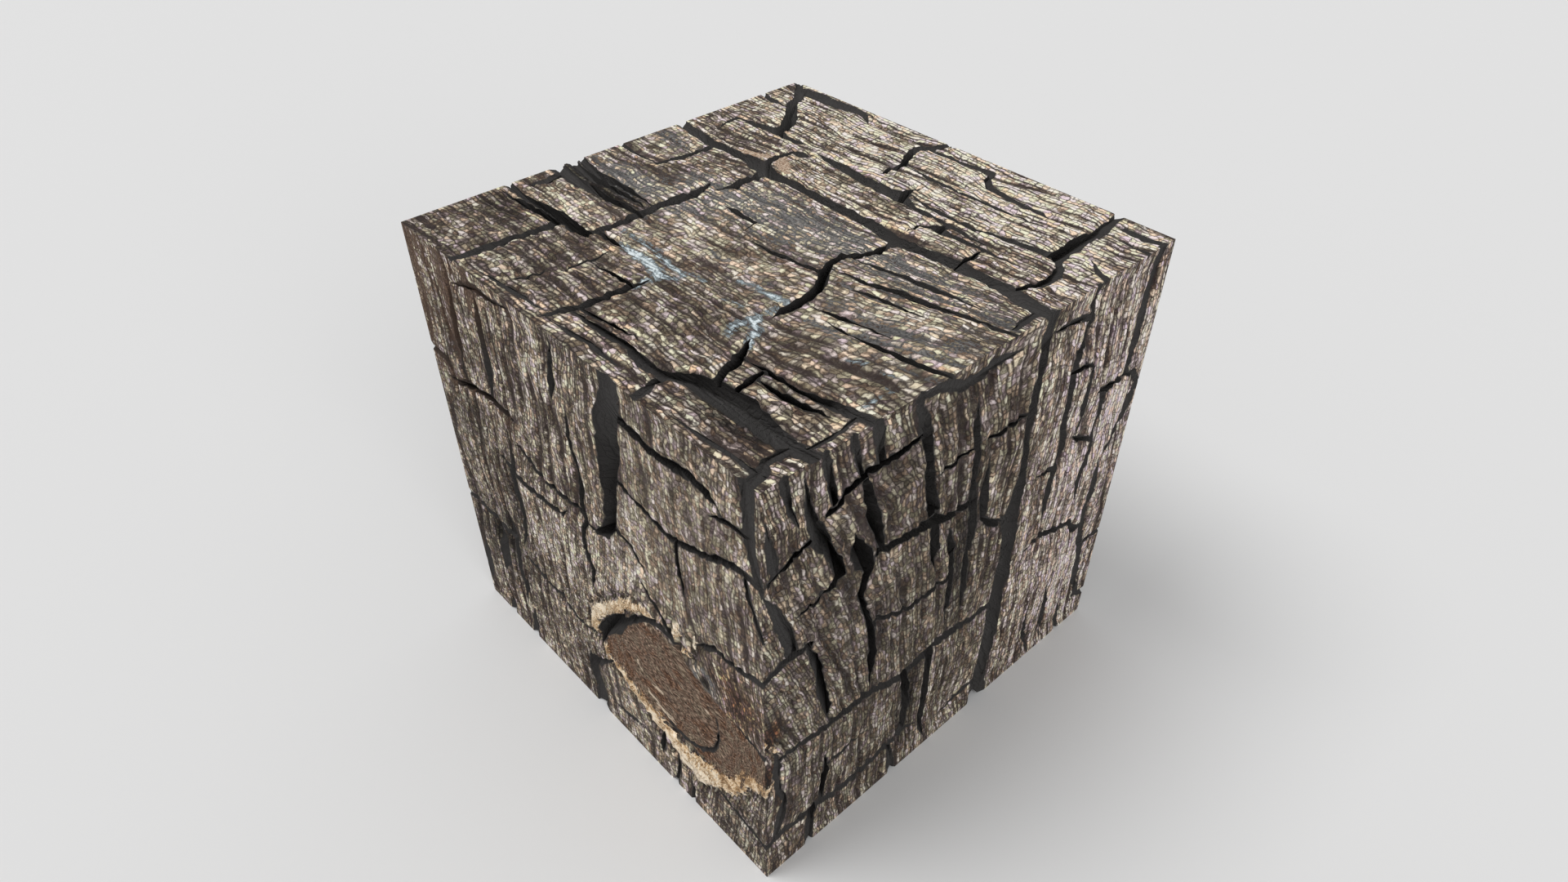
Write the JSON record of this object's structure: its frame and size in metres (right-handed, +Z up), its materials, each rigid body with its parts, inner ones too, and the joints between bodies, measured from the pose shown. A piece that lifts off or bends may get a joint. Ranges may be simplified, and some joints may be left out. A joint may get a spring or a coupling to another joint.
{
  "type": "weathered timber cube",
  "caption": "Solid cube sawn from a weathered timber post, split by drying checks, with a knot low on the front; stands on its flat base as a block, weight or stand.",
  "frame": {"origin": "middle of the square base, on the surface that the block stands on", "axes": "+Z up, -Y out of the front face with the knot, +X out of the right face with the widest upright check"},
  "size_m": [0.1, 0.1, 0.1],
  "materials": {
    "weathered_wood": "grey weathered bare wood, dry and unfinished, dark in the checks"
  },
  "bodies": {
    "root": {"timber_block": "weathered_wood"}
  },
  "joints": []
}
